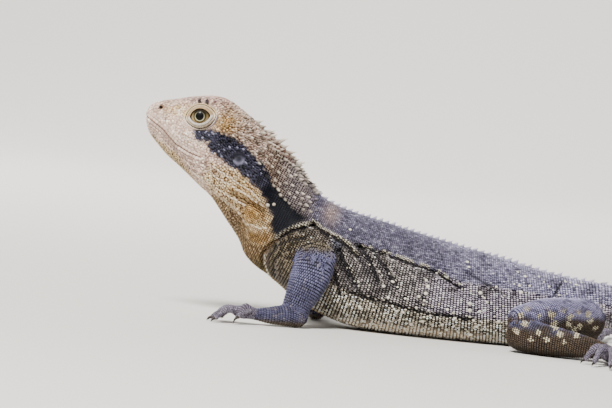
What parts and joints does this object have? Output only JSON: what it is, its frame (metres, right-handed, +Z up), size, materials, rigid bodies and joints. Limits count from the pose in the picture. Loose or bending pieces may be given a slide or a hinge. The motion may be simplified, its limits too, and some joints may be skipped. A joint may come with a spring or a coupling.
{
  "type": "eastern water dragon",
  "caption": "Life-size still model of an eastern water dragon resting on its belly, head raised, tail laid along the floor.",
  "frame": {"origin": "middle of the flat of the belly that rests on the floor, at floor level", "axes": "+X towards the tail, so the snout points to -X; +Z up; the animal's left side is at -Y"},
  "size_m": [0.6352, 0.1802, 0.0961],
  "materials": {
    "skin": "dry keeled skin, blue-grey above, brown and gold below",
    "scales": "small overlapping keeled scales, dry satin",
    "horn": "pale horn of crest spines, cone scales and claws",
    "eye": "wet glossy eyeball with a gold-brown iris"
  },
  "bodies": {
    "root": {"head": "skin", "neck": "skin", "torso": "skin", "tail_root": "skin", "tail_front": "skin", "tail_middle": "skin", "tail_rear": "skin", "tail_tip": "skin", "upper_arm_left": "skin", "forearm_left": "skin", "hand_left": "skin", "thigh_left": "skin", "shank_left": "skin", "foot_left": "skin", "eye_left": "eye", "upper_arm_right": "skin", "forearm_right": "skin", "hand_right": "skin", "thigh_right": "skin", "shank_right": "skin", "foot_right": "skin", "eye_right": "eye"}
  },
  "joints": []
}
